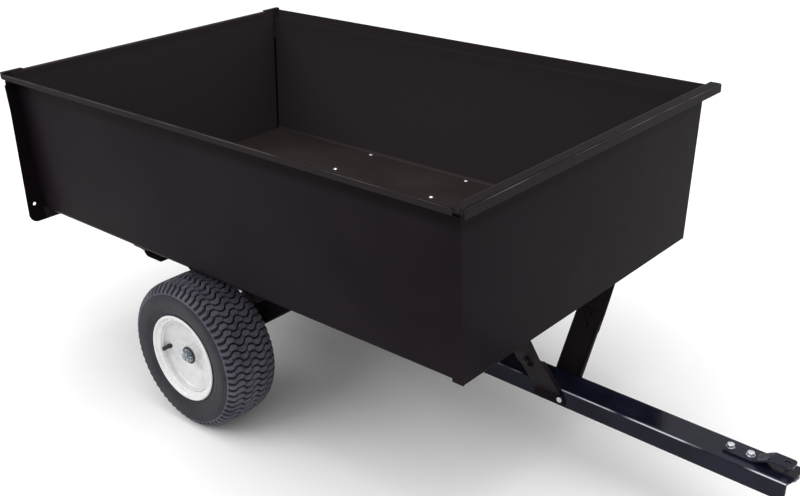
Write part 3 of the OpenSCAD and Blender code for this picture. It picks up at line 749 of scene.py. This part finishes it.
def split_pin(low, high):
    """A split pin along X inside a box: an eye at its back, two legs with their ends spread at its front."""
    wire, gap = 1.05 * MM, 1.15 * MM
    y, z = (low.y + high.y) / 2, (low.z + high.z) / 2
    eye = (high.z - low.z) / 2 - 1.1 * MM
    eye_x = low.x + eye + 1.1 * MM
    neck = eye_x + eye + 5.5 * MM
    spread = ((1.5, 2.4, 1.2), (4, 1.2, 0.3), (7, 0, 0))    # back from the tips, sideways and apart, in mm
    leg = [(high.x - back * MM, aside * MM, gap + apart * MM) for back, aside, apart in spread]
    line = [(x, y + out, z + up) for x, out, up in leg] + [(neck, y, z + gap)]
    for k in range(13):
        a = math.radians(28 + (360 - 2 * 28) * k / 12)
        line.append((eye_x + eye * math.cos(a), y, z + eye * math.sin(a)))
    line += [(neck, y, z - gap)] + [(x, y - out, z - up) for x, out, up in reversed(leg)]
    return sweep(line, wire)


def cotter_pins():
    """The two split pins at the axle's ends."""
    parts = [split_pin(Vector(pts.min(0)), Vector(pts.max(0))) for pts in islands("cotter_pins")]
    return finish_piece(joined("cotter_pin_set", parts, 60), "chassis", "zinc_steel", ZINC, "cotter_pins")


cotter_pins()


# ---------------------------------------------------------------- wheels


def half_sizes(cad_node):
    """A wheel part's radius and half its width, in mm."""
    low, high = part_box(cad_node)
    return (high.z - low.z) / 2 / MM, (high.y - low.y) / 2 / MM


def wheel_place(side):
    """A map from a wheel's own frame, +Z out of the cart, to its place."""
    low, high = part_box("tyre_" + side)
    centre = (low + high) / 2
    sign = 1 if side == "left" else -1
    return lambda p: Vector((centre.x + p.x, centre.y + sign * p.z, centre.z + p.y))


def wheel_rim(side):
    """Rim barrel with rolled flanges, bead seats and drop centre."""
    r, edge = half_sizes("wheel_rim_" + side)
    steps = ((0.3, 2.4), (1.0, 0.4), (3.4, 0.9), (7.5, 6.5), (15.7, 11), (15.7, 31), (29.5, 39))
    half = [(r - down, edge - inward) for down, inward in steps]
    line = half + [(a, -b) for a, b in reversed(half)]
    radii = [1.2, 1.8, 5, 4, 5, 6]
    outline = thick(rounded(line, radii + radii[::-1], 5), -2.4)
    obj = joined("wheel_rim_%s_rolled" % side, [ring_verts(mm_profile(outline), 144, wheel_place(side))], 45)
    return finish_piece(obj, "wheel_" + side, "white_paint", WHITE, "wheel_rim_" + side)


def weld_bead(ring_r, height, size, place):
    """A round weld of slightly uneven thickness; sizes in mm."""
    around, sides = 180, 8
    verts, faces = [], []
    for k in range(around):
        a = 2 * math.pi * k / around
        wave = size * (1 + 0.10 * math.sin(45 * a) + 0.06 * math.sin(7 * a))
        for m in range(sides):
            b = 2 * math.pi * m / sides
            r, z = ring_r + wave * math.cos(b), height + wave * math.sin(b)
            verts.append(place(Vector((r * math.cos(a), r * math.sin(a), z)) * MM))
        faces += strip_faces(k * sides, (k + 1) % around * sides, sides)
    return verts, faces


def wheel_disc(side):
    """Pressed disc: a bowl with stepped rings, and weld beads at the hub and the barrel."""
    r = half_sizes("wheel_disc_" + side)[0]
    hub_r = half_sizes("wheel_hub_" + side)[0]
    bowl = [(hub_r, 30), (34, 28.6), (46, 28.2), (58, 29.6), (66, 31.2), (72, 33.4), (80, 38.4), (87, 42.8)]
    collar = [(92, 45.2), (r - 3.0, 49.4), (r, 53), (r, 63)]
    line = smooth_line(bowl + collar[:1], 4) + rounded(collar, [6, 3], 5)[1:]
    place = wheel_place(side)
    parts = [ring_verts(mm_profile(thick(line, 2.8)), 144, place)]
    parts += [weld_bead(hub_r + 0.4, 33.2, 1.9, place), weld_bead(r - 2.4, 62.6, 1.5, place)]
    obj = joined("wheel_disc_%s_pressed" % side, parts, 40)
    return finish_piece(obj, "wheel_" + side, "white_paint", WHITE, "wheel_disc_" + side)


def valve_cap(top, place):
    """A ribbed cap whose small end is at top, in mm."""
    around = 40
    levels = [(4.4, 18.0), (5.8, 18.3), (5.8, top - 1.4), (5.1, top - 0.3), (3.2, top)]
    verts, faces = [], [list(range(around))]
    for i, (r, z) in enumerate(levels):
        for k in range(around):
            a = 2 * math.pi * k / around
            ribbed = r - (0.35 if k % 2 and r > 4.5 else 0)
            verts.append(place(Vector((ribbed * math.cos(a), ribbed * math.sin(a), z)) * MM))
        if i:
            faces += strip_faces((i - 1) * around, i * around, around)
    faces.append([(len(levels) - 1) * around + k for k in range(around)])
    return verts, faces


def valve_stem(side):
    """Snap-in valve: rubber bulge in the disc, tapered stem and a ribbed cap."""
    low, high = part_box("valve_stem_" + side)
    sign = 1 if side == "left" else -1
    centre = (low + high) / 2
    inner = low.y if sign > 0 else high.y
    hole_r, half_length = half_sizes("valve_stem_" + side)

    def place(p):
        return Vector((centre.x + p.x, inner + sign * p.z, centre.z + p.y))

    bulge = [(0, 0), (5.4, 0), (6.6, 1.6), (6.7, 3.4), (6.0, 4.2), (6.1, 5.6), (7.0, 6.6), (7.0, 8.0)]
    stem = bulge + [(6.0, 9.4), (5.2, 12.5), (4.8, 17.5), (4.8, 18.2), (0, 18.2)]
    profile = mm_profile([(min(r, hole_r), z) for r, z in stem])
    parts = [ring_verts(profile, 32, place, closed=False), valve_cap(2 * half_length, place)]
    obj = joined("valve_stem_%s_moulded" % side, parts, 40)
    return finish_piece(obj, "wheel_" + side, "valve_rubber", VALVE, "valve_stem_" + side)


# ---------------------------------------------------------------- tyres, all sizes in mm

PITCHES = 64                # tread blocks round the tyre in each row
ROWS, ROW = 5, 24.6         # rows of blocks, and the distance from one row to the next
TREAD_DEPTH, LUG_DEPTH = 5.6, 4.4
GROOVE, SLIT = 1.9, 0.8     # half widths of the grooves across a row and between the rows
LUG_START, LUG_END = 60.5, 87.0     # along the surface from the middle of the tread
TREAD_EDGE = LUG_END + 2
RISING = [(-12.3, 6.0), (-6.5, 0.8), (4.5, 0.0), (12.3, 7.0)]      # the grooves across the even rows
FALLING = [(-12.3, 2.0), (-5.0, 7.6), (5.5, 7.2), (12.3, 1.4)]     # and across the odd ones
GRID_U, GRID_S = 13, 112    # cells in a pitch, and from one edge of the tread to the other
RINGS = (                   # place, rise and half width of the rings raised on the sidewalls
    (93.0, 1.1, 1.6),
    (101.0, 0.5, 1.2),
    (128.0, 0.7, 1.4),
    (150.0, 0.9, 2.2),
)


def tyre_outline(radius, side):
    """Half outline from the middle of the tread to the bead, as (distance along it, width, radius)."""
    crown = [(0, 0), (20, 0), (36, 0.15), (46, 1.0), (54.5, 2.5)]
    shoulder = [(63, 5.8), (70.5, 10.6), (76, 17), (79.5, 25)]
    wall = [(0.4, 36), (0, 45), (0.6, 55), (2.6, 65), (6, 75), (9.6, 83.6), (15, 92.5), (18.5, 100.8)]
    points = [(out, radius - drop) for out, drop in crown + shoulder]
    points += [(side - inward, radius - drop) for inward, drop in wall]
    line = smooth_line(points, 6)
    outline, s = [], 0.0
    for i, p in enumerate(line):
        if i:
            s += (p - line[i - 1]).length
        outline.append((s, p.x, p.y))
    return outline


def on_outline(outline, s, depth=0.0):
    """The point at distance s along the outline, mirrored for negative s, and depth below it."""
    reach = abs(s)
    k = next((i for i, point in enumerate(outline) if point[0] >= reach), len(outline) - 1)
    k = max(1, k)
    before, after = outline[k - 1], outline[k]
    t = (reach - before[0]) / max(after[0] - before[0], 1e-9)
    h = before[1] + (after[1] - before[1]) * t
    r = before[2] + (after[2] - before[2]) * t
    back, ahead = outline[max(k - 3, 0)], outline[min(k + 2, len(outline) - 1)]
    d = Vector((ahead[1] - back[1], ahead[2] - back[2])).normalized()
    h, r = h + d.y * depth, r - d.x * depth
    return (math.copysign(h, s) if s else 0.0, r)


def zigzag(points, s):
    """Height of a broken line at s."""
    return np.interp(s, [p[0] for p in points], [p[1] for p in points])


def step(value, width):
    """0 up to zero, 1 from width on, straight between."""
    return np.clip(value / width, 0, 1)


def block_cut(s, u, pitch):
    """1 in the grooves round the rows' blocks, 0 on top of the blocks."""
    row = np.clip(np.round(s / ROW), -(ROWS // 2), ROWS // 2)
    local = s - row * ROW
    odd = (row.astype(int) % 2) != 0
    line = np.where(odd, zigzag(FALLING, local) + pitch * 0.3, zigzag(RISING, local))
    phase = (u - line + pitch / 2) % pitch - pitch / 2
    slope = np.where(np.abs(local) > 5.5, 0.85, 0.08)
    groove = 1 - step(np.abs(phase) / np.sqrt(1 + slope**2) - GROOVE, 1.1)
    to_row = np.abs(np.abs(local) - ROW / 2)
    joined_rows = step(to_row - SLIT, 0.9) + step(np.where(odd, -phase, phase) - 1.5, 1.2)
    return np.maximum(groove, 1 - np.clip(joined_rows, 0, 1))


def lug_cut(s, u, pitch):
    """1 between the shoulder's bent lugs, 0 on top of them."""
    out = np.abs(s)
    share = (out - LUG_START) / (LUG_END - LUG_START)
    bend = 5.0 * np.abs(share - 0.42)
    from_gap = np.abs((u + bend + np.where(s > 0, pitch / 2, 0) + pitch / 2) % pitch - pitch / 2)
    gap = 1 - step(from_gap - (3.1 + 1.3 * np.clip(share, 0, 1)), 1.4)
    return np.maximum(gap, step(LUG_START + 1.6 - out, 1.6))


def tread_depth(s, u, pitch):
    """How far the moulded surface lies below the outline, and how much of a block's top it is."""
    out = np.abs(s)
    on_rows = out < ROWS * ROW / 2
    fade = 1 - step(out - LUG_END + 4, 5)
    cut = np.where(on_rows, block_cut(s, u, pitch), lug_cut(s, u, pitch) * fade)
    deep = np.where(on_rows, TREAD_DEPTH, LUG_DEPTH * fade + 0.001)
    below = np.where(out > LUG_END - 4, (1 - fade) * 1.2, 0)
    return cut * deep + below, 1 - cut


def tread(outline, radius, place):
    """Corners, faces and relief of the moulded band from shoulder to shoulder."""
    pitch = 2 * math.pi * radius / PITCHES
    stations = np.linspace(-TREAD_EDGE, TREAD_EDGE, GRID_S + 1)
    turns = np.arange(GRID_U * PITCHES) * (pitch / GRID_U)
    depth, relief = tread_depth(*np.meshgrid(stations, turns), pitch)
    tops = [on_outline(outline, s) for s in stations]
    deeper = [on_outline(outline, s, 1.0) for s in stations]
    verts, faces, n = [], [], len(stations)
    for i, turn in enumerate(turns):
        a = turn / radius
        sin, cos = math.sin(a), math.cos(a)
        for (h0, r0), (h1, r1), d in zip(tops, deeper, depth[i]):
            h, r = h0 + (h1 - h0) * d, r0 + (r1 - r0) * d
            verts.append(place(Vector((r * sin * MM, r * cos * MM, h * MM))))
        faces += strip_faces(i * n, (i + 1) % len(turns) * n, n, closed=False)
    return verts, faces, relief.ravel().tolist()


def side_walls(outline, radius, half_w, place):
    """Corners and faces of both sidewalls with their raised rings, the beads and the inside."""
    total = outline[-1][0]
    spots = {TREAD_EDGE + (total - TREAD_EDGE) * k / 40 for k in range(41)}
    for ring_s, _, width in RINGS:
        spots |= {ring_s + width * share for share in (-1, -0.45, 0.45, 1)}
    half = []
    for s in sorted(x for x in spots if x <= total):
        sunk = 1.2 - sum(rise for ring_s, rise, width in RINGS if abs(s - ring_s) <= width * 0.46)
        half.append(on_outline(outline, s, sunk))
    bead_w, bead_r = half[-1]
    inner = [(bead_r - 0.3, bead_w - 10), (bead_r + 10, bead_w - 8), (radius - 60, half_w - 12)]
    inner += [(radius - 30, half_w - 16), (radius - 16, half_w - 30), (radius - 13, 0)]
    right = [(r, h) for h, r in half] + inner
    profile = right + [(r, -h) for r, h in reversed(right[:-1])]
    return ring_verts(mm_profile(profile), 208, place, closed=False)


def tyre(side):
    """Turf tyre: rows of blocks between zigzag grooves, shoulder lugs, and ringed sidewalls."""
    radius, half_w = half_sizes("tyre_" + side)
    place = wheel_place(side)
    outline = tyre_outline(radius, half_w)
    verts, faces, relief = tread(outline, radius, place)
    wall = side_walls(outline, radius, half_w, place)
    # a fixed relief on the sidewalls, which darkens their colour evenly
    relief += [0.26] * len(wall[0])
    obj = joined("tyre_%s_turf" % side, [(verts, faces), wall], 28)
    mark = obj.data.attributes.new("relief", "FLOAT", "POINT")
    mark.data.foreach_set("value", relief)
    return finish_piece(obj, "wheel_" + side, "tyre_rubber", RUBBER, "tyre_" + side)


for side in SIDES:
    wheel_rim(side)
    wheel_disc(side)
    valve_stem(side)
    tyre(side)


# ---------------------------------------------------------------- stage, lights and camera

LAMPS = (  # name, place, target, size in metres, power in watts
    ("strip_light", (-1.5, -3.1, 2.9), (-0.1, 0, 0.3), (4.0, 0.5), 48),
    ("top_softbox", (0.1, 0.2, 4.0), (0.1, 0, 0.4), (3.0, 3.0), 40),
    ("front_softbox", (3.6, -0.6, 2.4), (0.6, 0, 0.3), (1.2, 2.0), 8),
)
FLOOR_HALF = 20                         # metres
CAMERA_FROM_AXLE = (2.026, -1.939)      # forward and to the left, in metres
CAMERA_HEIGHT = 1.595
CAMERA_TURN = (65.533, 1.369, 41.059)   # degrees about X, Y and Z
CAMERA_LENS, CAMERA_SENSOR = 47.99, 36  # mm


def studio_floor():
    """A pale square of floor under the cart."""
    corners = [(-1, -1), (1, -1), (1, 1), (-1, 1)]
    verts = [(x * FLOOR_HALF, y * FLOOR_HALF, cad_box[0].z) for x, y in corners]
    floor = add_mesh("studio_floor_plane", verts, [(0, 1, 2, 3)])
    floor.data.materials.append(floor_paper())
    return floor


def area_light(name, place, target, size, power):
    """A rectangular lamp at place that shines towards target."""
    data = bpy.data.lights.new(name, "AREA")
    data.shape = "RECTANGLE"
    data.size, data.size_y = size
    data.energy = power
    lamp = bpy.data.objects.new(name, data)
    lamp.location = place
    lamp.rotation_euler = (Vector(target) - Vector(place)).to_track_quat("-Z", "Y").to_euler()
    scene.collection.objects.link(lamp)
    return lamp


def studio_sky():
    """A white sky that is brightest overhead."""
    world = bpy.data.worlds.new("studio_world")
    world.use_nodes = True
    tree = world.node_tree
    sky = next(n for n in tree.nodes if n.type == "BACKGROUND")
    up = split(tree, texture_space(tree, "Generated"))["Z"]
    tree.links.new(ramp(tree, up, 0.0, 0.95, 0.42, 1.35), sky.inputs["Strength"])
    sky.inputs["Color"].default_value = (1.0, 1.0, 1.0, 1)
    scene.world = world


def photo_camera():
    """A camera at the photograph's place beside the hitch."""
    data = bpy.data.cameras.new("photo_camera")
    data.sensor_width = CAMERA_SENSOR
    data.lens = CAMERA_LENS
    camera = bpy.data.objects.new("photo_camera", data)
    low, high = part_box("axle")
    camera.location = ((low.x + high.x) / 2 + CAMERA_FROM_AXLE[0], CAMERA_FROM_AXLE[1], CAMERA_HEIGHT)
    camera.rotation_euler = Euler([math.radians(a) for a in CAMERA_TURN], "XYZ")
    scene.collection.objects.link(camera)
    scene.camera = camera
    return camera


studio_floor()
studio_sky()
for lamp in LAMPS:
    area_light(*lamp)
photo_camera()
scene.view_settings.view_transform = "Standard"

bpy.context.view_layer.update()
